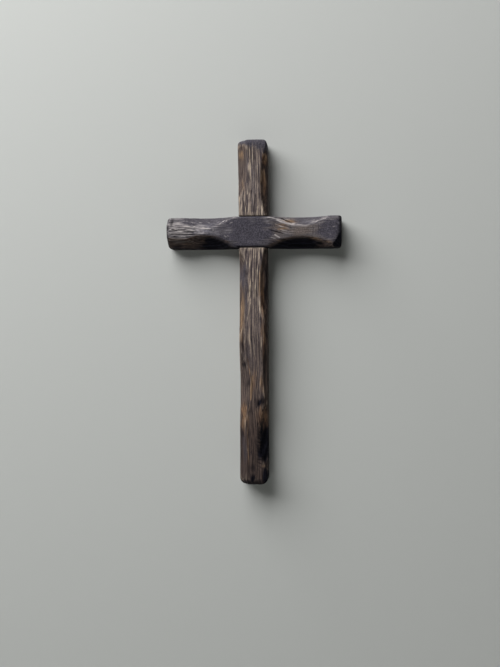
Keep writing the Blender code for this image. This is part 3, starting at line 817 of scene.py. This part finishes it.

# %% [markdown]
# ## Scorched, brushed and oiled pine
# Torching blackens softwood, brushing takes the char off the hard lines again, and oil turns what
# is left grey-brown. To the eye it is a dull, streaked surface: dark lines a millimetre or so wide,
# paler rubbed streaks between them, warm wood where the torch missed, and an even soot where it
# stayed. The soot layer also carries painted shade, and the pale layer a painted highlight on the
# ridges. The base is a colour ramp over streaks that run along the grain, and the stored masks mix
# in the other finishes. Each pattern's three lengths are mm across the rings, round them and along
# the grain. Real fibres are 0.03 mm across and grains of soot smaller still: neither would show, so
# both are drawn coarser.

# %% Make the timber finish
FIBRE = (0.22, 0.6, 4.5)  # bundles of fibres
STREAK = (0.46, 1.6, 12.0)  # the rubbed and sooty lines between the rings
BROAD_STREAK = (3.2, 7.0, 70.0)
CHECK = (1.5, 4.0, 26.0)  # the fine checks, which are thin dark lines
CHECK_WIDTH = 0.13  # how far from its middle value the noise still counts as a check
CHECK_DARK = 0.5  # how black a check is
RIPPLE_DARK = 0.8  # how black the lines of a full ripple are
SOOT_GRIT = 0.7  # mm, the speckle of soot on the matt crossing
MOTTLE = 2.4  # mm, the clouds in the silvery patches
BROWNS_AT = (0.32, 0.5, 0.66, 0.82, 1.0)
PALE_AT = (0.3, 0.62, 0.95)
MIDDLE_TONE = 0.31  # of plain wood, before its patterns are added
# Soot black in checks and the burr's arcs, painted shade in cracks and chatter grooves
SOOT_AND_SHADE_BLACK = "#0c0a0f"  # in cracks, checks and ripples


def scorched_pine(name, ring, browns, pale_tones, streakiness, speckle):
    """Dull streaked wood; the colours are hex codes from the darkest line to the palest streak."""
    material, tree, shader = new_material(name)
    grain = add(tree, "Attribute", out="Vector", attribute_name="grain")
    stored = {
        mark: add(tree, "Attribute", out="Fac", attribute_name=mark)
        for mark in FINISHES + ("hollow", "ripple_turns", "rippled")
    }
    patterns = []
    for sizes, detail in ((BROAD_STREAK, 2.0), (STREAK, 3.0), (FIBRE, 2.0), (CHECK, 1.0)):
        per_mm = [1 / size for size in sizes]
        scaled = add(tree, "VectorMath", (grain, per_mm), operation="MULTIPLY")
        patterns.append(add(
            tree, "TexNoise", {"Vector": scaled, "Scale": 1.0, "Detail": detail, "Roughness": 0.55},
        ))
    broad, streak, fibre, wander = patterns
    place = add(tree, "TexCoord", out="Object")
    grit = add(tree, "TexNoise", {"Vector": place, "Scale": 1 / (SOOT_GRIT * MM), "Detail": 3.0})
    clouds = add(
        tree, "TexNoise",
        {"Vector": place, "Scale": 1 / (MOTTLE * MM), "Detail": 4.0, "Roughness": 0.6},
    )

    # Late wood lies where the relief has its ridges
    from_pith = add(tree, "SeparateXYZ", (grain,))
    rings_out = add(tree, "Math", (from_pith, 1 / ring), operation="MULTIPLY")
    part = add(tree, "Math", (rings_out,), operation="FRACT")
    rise = add(tree, "MapRange", (part, EARLY_ENDS, LATE_BEGINS), interpolation_type="SMOOTHSTEP")
    fall = add(tree, "MapRange", (part, LATE_ENDS, 1.0, 1.0, 0.0), interpolation_type="SMOOTHSTEP")
    ridge = add(tree, "Math", (rise, fall), operation="MULTIPLY")

    # The streak noise is stretched about its middle, so that both ends of the ramp are used
    contrast = add(tree, "MapRange", (streak, 0.3, 0.7))
    tone = MIDDLE_TONE - (streakiness + speckle) / 2
    for pattern, weight in (
        (contrast, streakiness), (grit, speckle), (ridge, 0.18), (broad, 0.28), (fibre, 0.34),
    ):
        tone = add(tree, "Math", (pattern, weight, tone), operation="MULTIPLY_ADD")
    colour = add(tree, "ValToRGB", (tone,), zip(BROWNS_AT, browns))

    # Streaks break up the rim of each finish, as the brush does, and the last layer, soot with
    # painted shade, lies over all the others
    layers = (  # finish, the pattern that shades it, raggedness, colour stops
        ("umber", tone, 0.2, ((0.3, "#1c1614"), (0.62, "#3f3430"), (0.95, "#64534b"))),
        ("rust", tone, 0.35, ((0.3, "#241811"), (0.62, "#5f4433"), (0.95, "#a07a58"))),
        ("scraped", grit, 0.2, ((0.3, "#48413f"), (0.5, "#615855"), (0.72, "#8a7e79"))),
        ("silver", clouds, 0.2, (
            (0.32, "#45424a"), (0.46, "#65626a"), (0.56, "#7f7c84"), (0.7, "#a5a1a8"),
        )),
        ("warm", tone, 0.35, ((0.3, "#2b201a"), (0.62, "#6f5948"), (0.95, "#a98c6e"))),
        # Its violet tint is partly a painted reflection
        ("matt", grit, 0.1, ((0.3, "#29272d"), (0.5, "#3d3a42"), (0.72, "#5f5b66"))),
        ("pale", tone, 0.35, zip(PALE_AT, pale_tones)),
        ("soot_and_shade", tone, 0.3, ((0.35, "#050507"), (0.66, "#0e0e13"), (0.95, "#24232c"))),
    )
    # A colour Mix has its share in input 0 and its two colours in 6 and 7
    for finish, pattern, rag, stops in layers:
        edge = add(tree, "Math", (contrast, rag, -rag / 2), operation="MULTIPLY_ADD")
        share = add(tree, "Math", (stored[finish], edge), operation="ADD")
        share = add(tree, "MapRange", (share, 0.12, 0.95))
        shade = add(tree, "ValToRGB", (pattern,), stops)
        colour = add(tree, "Mix", {0: share, 6: colour, 7: shade}, out=2, data_type="RGBA")

    # A check lies where the wandering noise passes its middle value: along thin long lines
    off_middle = add(tree, "Math", (wander, 0.5), operation="SUBTRACT")
    off_middle = add(tree, "Math", (off_middle,), operation="ABSOLUTE")
    check = add(tree, "MapRange", (off_middle, 0.0, CHECK_WIDTH / 2, CHECK_DARK, 0.0))
    smooth = stored["scraped"]
    for finish in ("silver", "matt"):
        smooth = add(tree, "Math", (smooth, stored[finish]), operation="ADD")
    check = add(tree, "MapRange", (smooth, 0.1, 0.6, check, 0.0))

    # Ripples are the chatter marks and the burr's arcs, one dark line in each turn: on the chatter
    # marks it lies in each groove as painted shade, on the burr it is the rings' own colour
    angle = add(tree, "Math", (stored["ripple_turns"], 2 * math.pi), operation="MULTIPLY")
    wave = add(tree, "Math", (angle,), operation="COSINE")
    line = add(tree, "MapRange", (wave, 0.1, 0.9, 0.0, RIPPLE_DARK))
    line = add(tree, "Math", (line, stored["rippled"]), operation="MULTIPLY")
    dark = stored["hollow"]
    for lines in (check, line):
        dark = add(tree, "Math", (dark, lines), operation="MAXIMUM")
    colour = add(tree, "Mix", {0: dark, 6: colour, 7: linear(SOOT_AND_SHADE_BLACK)}, out=2, data_type="RGBA")

    relief = 0.0
    for pattern, height in ((fibre, 0.10), (streak, 0.15)):
        relief = add(tree, "Math", (pattern, height, relief), operation="MULTIPLY_ADD")
    shader.inputs["IOR"].default_value = 1.5
    for socket, value in {
        "Base Color": colour,
        "Roughness": add(tree, "MapRange", (tone, 0.3, 1.0, 0.82, 0.6)),
        "Specular IOR Level": add(tree, "MapRange", (stored["soot_and_shade"], 0.0, 1.0, 0.16, 0.02)),
        "Normal": add(tree, "Bump", {"Height": relief, "Distance": MM, "Strength": 0.9}),
    }.items():
        tree.links.new(value, shader.inputs[socket])
    return material


post.data.materials.append(scorched_pine(
    "scorched and brushed pine", POST_RING,
    browns=("#161419", "#332d32", "#574d4d", "#7e7069", "#b09f8d"),
    pale_tones=("#5a5050", "#9a8b80", "#e0ceb6"), streakiness=0.37, speckle=0.20,
))
crossbeam.data.materials.append(scorched_pine(
    "sooty brushed pine", BEAM_RING,
    browns=("#151418", "#302d32", "#555154", "#7c777b", "#b2acac"),
    pale_tones=("#565156", "#969092", "#dcd3ce"), streakiness=0.44, speckle=0.24,
))
print("timber finishes:", [m.name for m in bpy.data.materials if "pine" in m.name])

# %% [markdown]
# ## Keyhole plate
# The hanger is a bought steel plate, blanked and pierced from sheet. It starts as a box of the CAD
# plate's size. Its four upright corners are rounded by a bevel, then the keyhole and two
# countersunk screw seats are cut through. Last, the square edges get the small radius that tumbling
# leaves, and the corner normals are weighted by area, so that the flat faces shade flat.

# %% Blank and pierce the plate
PLATE_CORNER = 7.0 * MM
ENTRY_RADIUS = 4.8 * MM  # the round hole that the wall screw's head goes through
ENTRY_DROP = 4.5 * MM  # from the plate's middle down to that hole
SLOT_WIDTH = 4.8 * MM
SLOT_RISE = 6.8 * MM  # from the plate's middle up to the middle of the slot's end
COUNTERSINK_GAP = 0.3 * MM  # between a screw's head and its seat in the plate
SCREW_HOLE_RADIUS = 1.75 * MM
TUMBLED_EDGE = 0.18 * MM
OVERCUT = 1.0 * MM  # how far a cutter reaches past the sheet on both sides


def cut_away(piece, tool):
    """Cuts the tool's shape out of the piece and deletes the tool."""
    modify(piece, "cut", "BOOLEAN", operation="DIFFERENCE", solver="EXACT", object=tool)
    bpy.data.objects.remove(tool, do_unlink=True)


def box_between(low, high, name):
    """A box from one corner to the other, with its origin at the world's."""
    bpy.ops.object.select_all(action="DESELECT")
    bpy.ops.mesh.primitive_cube_add(size=1, location=(Vector(low) + Vector(high)) / 2)
    made = bpy.context.object
    made.name = name
    made.scale = Vector(high) - Vector(low)
    bpy.ops.object.transform_apply()
    return made


def peg(x, z, back, front, back_radius, front_radius, sides=48):
    """A round peg, or a cone, that lies along Y."""
    bpy.ops.object.select_all(action="DESELECT")
    bpy.ops.mesh.primitive_cone_add(
        vertices=sides, radius1=back_radius, radius2=front_radius, depth=back - front,
        location=(x, (back + front) / 2, z), rotation=(math.pi / 2, 0, 0),
    )
    bpy.ops.object.transform_apply()
    return bpy.context.object


low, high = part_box("keyhole_plate")
back, front = high.y + OVERCUT, low.y - OVERCUT
plate_middle = (low.z + high.z) / 2
entry_z, slot_end_z = plate_middle - ENTRY_DROP, plate_middle + SLOT_RISE
plate = box_between(low, high, "hanging_plate")
edit(
    plate, bpy.ops.mesh.bevel, lambda start, end: abs(start.y - end.y) > 0.5 * (high.y - low.y),
    offset=PLATE_CORNER, segments=12,
)
cut_away(plate, peg(0, entry_z, back, front, ENTRY_RADIUS, ENTRY_RADIUS))
cut_away(plate, peg(0, slot_end_z, back, front, SLOT_WIDTH / 2, SLOT_WIDTH / 2))
cut_away(plate, box_between(
    (-SLOT_WIDTH / 2, front, entry_z), (SLOT_WIDTH / 2, back, slot_end_z), "slot cutter",
))
for node in ("plate_screw_upper", "plate_screw_lower"):
    screw_low, screw_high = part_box(node)
    seat_z = (screw_low.z + screw_high.z) / 2
    head_radius = (screw_high.z - screw_low.z) / 2 + COUNTERSINK_GAP
    cut_away(plate, peg(0, seat_z, back, high.y - head_radius, head_radius + OVERCUT, 0))
    cut_away(plate, peg(0, seat_z, back, front, SCREW_HOLE_RADIUS, SCREW_HOLE_RADIUS))
modify(
    plate, "tumbled edges", "BEVEL",
    width=TUMBLED_EDGE, segments=2, limit_method="ANGLE", angle_limit=math.radians(70),
)
bpy.ops.object.shade_smooth_by_angle(angle=math.radians(30))
modify(plate, "flat faces stay flat", "WEIGHTED_NORMAL", keep_sharp=True)
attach(plate, "root")
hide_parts("keyhole_plate")
report(plate)

# %% [markdown]
# ## Wood screws
# Each screw is turned from a plain rod. The driver's cross is cut into its end first, while the rod
# has few faces. Then its long edges are cut into many rings, and each ring takes the radius that a
# real screw has there: a low rim, a countersunk cone, a plain neck and a sharp thread, drawn to a
# point.

# %% Turn and thread the screws
SIDES = 40  # faces round a screw
RINGS = 190  # cuts along its length
HEAD_RIM = 0.3  # mm of straight side on a head
NECK = 2.2  # mm of plain shank under the head
CORE = 0.66  # the thread's root, as a share of its crest
FLANK = 0.55  # share of half a pitch that a flank of the thread takes
POINT = 2.2  # length of the point for each unit of the shank's radius
BLUNT = 0.2  # the tip's radius, as a share of the shank's
RECESS_REACH, RECESS_WING, RECESS_DEPTH = 0.58, 0.17, 0.55  # the driver's cross, in head radii
RECESS_TAPER = 0.45  # its floor, as a share of its mouth
PLATE_THREAD = (1.45, 1.1)  # shank radius and pitch in mm
LAP_THREAD = (1.75, 1.6)


def screw_radius(depth, turn_share, head, shank, length, pitch):
    """Radius in mm at a depth below the head's face; turn_share is 0 to 1 round the screw."""
    if depth < HEAD_RIM:
        return head
    if depth < HEAD_RIM + head - shank:
        return head - (depth - HEAD_RIM)
    thread_start = HEAD_RIM + head - shank + NECK
    near_crest = abs((depth / pitch - turn_share) % 1.0 - 0.5) * 2
    tooth = CORE + (1 - CORE) * max(0.0, 1 - (1 - near_crest) / FLANK)
    begun = min(1.0, max(0.0, (depth - thread_start) / pitch))
    to_tip = (length - depth) / (POINT * shank)
    return shank * (1 + (tooth - 1) * begun) * min(1.0, BLUNT + (1 - BLUNT) * to_tip)


def turned_screw(node, shank, pitch, slot):
    """A threaded screw with a cross recess, in the place of the CAD screw."""
    low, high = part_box(node)
    head = (high.x - low.x) / 2
    length = (high.y - low.y) / MM
    x, z = (low.x + high.x) / 2, (low.z + high.z) / 2
    made = peg(x, z, high.y, low.y, head, head, SIDES)
    made.name = "threaded_" + node
    reach, wing = RECESS_REACH * head, RECESS_WING * head
    for half_x, half_z in ((reach, wing), (wing, reach)):
        cross = box_between(
            (x - half_x, high.y - RECESS_DEPTH * head, z - half_z),
            (x + half_x, high.y + OVERCUT, z + half_z), "driver",
        )
        for vertex in cross.data.vertices:
            if vertex.co.y < high.y:
                vertex.co.x = x + RECESS_TAPER * (vertex.co.x - x)
                vertex.co.z = z + RECESS_TAPER * (vertex.co.z - z)
        cut_away(made, cross)
    edit(
        made, bpy.ops.mesh.subdivide,
        lambda start, end: abs(start.y - end.y) > 0.9 * (high.y - low.y), number_cuts=RINGS,
    )
    for vertex in made.data.vertices:
        across, up = vertex.co.x - x, vertex.co.z - z
        if math.hypot(across, up) < 0.9 * head:  # the recess stays as it was cut
            continue
        turn_share = math.atan2(up, across) / (2 * math.pi) + 0.5
        depth = (high.y - vertex.co.y) / MM
        factor = screw_radius(depth, turn_share, head / MM, shank, length, pitch) * MM / head
        vertex.co.x = x + across * factor
        vertex.co.z = z + up * factor
    pick(made)
    bpy.ops.object.shade_smooth_by_angle(angle=math.radians(40))
    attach(made, "root")
    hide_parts(node)
    report(made)
    return made


plate_screws = [
    turned_screw("plate_screw_" + end, *PLATE_THREAD, "plate_screw_steel")
    for end in ("upper", "lower")
]
lap_screws = [
    turned_screw("lap_screw_" + end, *LAP_THREAD, "lap_screw_steel")
    for end in ("upper", "lower")
]

# %% [markdown]
# ## Zinc on steel
# Bright zinc is bluish and slightly clouded: the eye sees soft, uneven reflections. The lap screws
# are passivated yellow, which is the same zinc under a thin straw-coloured film that turns greener
# or redder with its thickness. Both are metals, so their colour sits in their reflection. Their
# recesses are made rougher and painted darker, as painted shade. Real rubbing marks are hundredths
# of a millimetre across, so they are drawn wider to show.

# %% Make the two zinc finishes
CLOUD = 2.6  # mm across one cloud in the plating
SCRATCH = (0.25, 6.0, 6.0)  # mm across and along the rubbing marks


def zinc_plate(name, tones, recess_shade_colour):
    """Clouded, rubbed plating from darkest to brightest tone, with painted shade and more roughness
    in the hollows.
    """
    material, tree, shader = new_material(name)
    place = add(tree, "TexCoord", out="Object")
    clouds = add(tree, "TexNoise", {"Vector": place, "Scale": 1 / (CLOUD * MM), "Detail": 4.0})
    sizes = [1 / (size * MM) for size in SCRATCH]
    stretched = add(tree, "VectorMath", (place, sizes), operation="MULTIPLY")
    rubbing = add(tree, "TexNoise", {"Vector": stretched, "Scale": 1.0, "Detail": 3.0})
    plated = add(tree, "ValToRGB", (clouds,), zip((0.3, 0.5, 0.72), tones))
    # Ambient occlusion paints the recesses darker, as shade, and makes them rougher
    closed = add(tree, "AmbientOcclusion", {"Distance": 1.2 * MM}, out="AO", samples=8)
    recess_shade_and_dullness = add(tree, "MapRange", (closed, 0.35, 0.85, 0.75, 0.0))
    gloss = add(tree, "MapRange", (clouds, 0.3, 0.7, 0.28, 0.46))
    shader.inputs["Metallic"].default_value = 1.0
    for socket, value in {
        "Base Color": add(
            tree, "Mix", {0: recess_shade_and_dullness, 6: plated, 7: linear(recess_shade_colour)}, out=2, data_type="RGBA",
        ),
        "Roughness": add(tree, "Math", (recess_shade_and_dullness, 0.4, gloss), operation="MULTIPLY_ADD"),
        "Normal": add(tree, "Bump", {"Height": rubbing, "Distance": 0.03 * MM, "Strength": 0.6}),
    }.items():
        tree.links.new(value, shader.inputs[socket])
    return material


bright_zinc = zinc_plate("bright zinc plating", ("#8f949a", "#b4b8bc", "#cfd2d4"), "#3a3632")
yellow_zinc = zinc_plate("yellow passivated zinc", ("#8f7d4c", "#b59f63", "#c9bd86"), "#35291c")
for steel_piece in [plate] + plate_screws:
    steel_piece.data.materials.append(bright_zinc)
for screw in lap_screws:
    screw.data.materials.append(yellow_zinc)
print("steel finishes:", [m.name for m in bpy.data.materials if "zinc" in m.name])
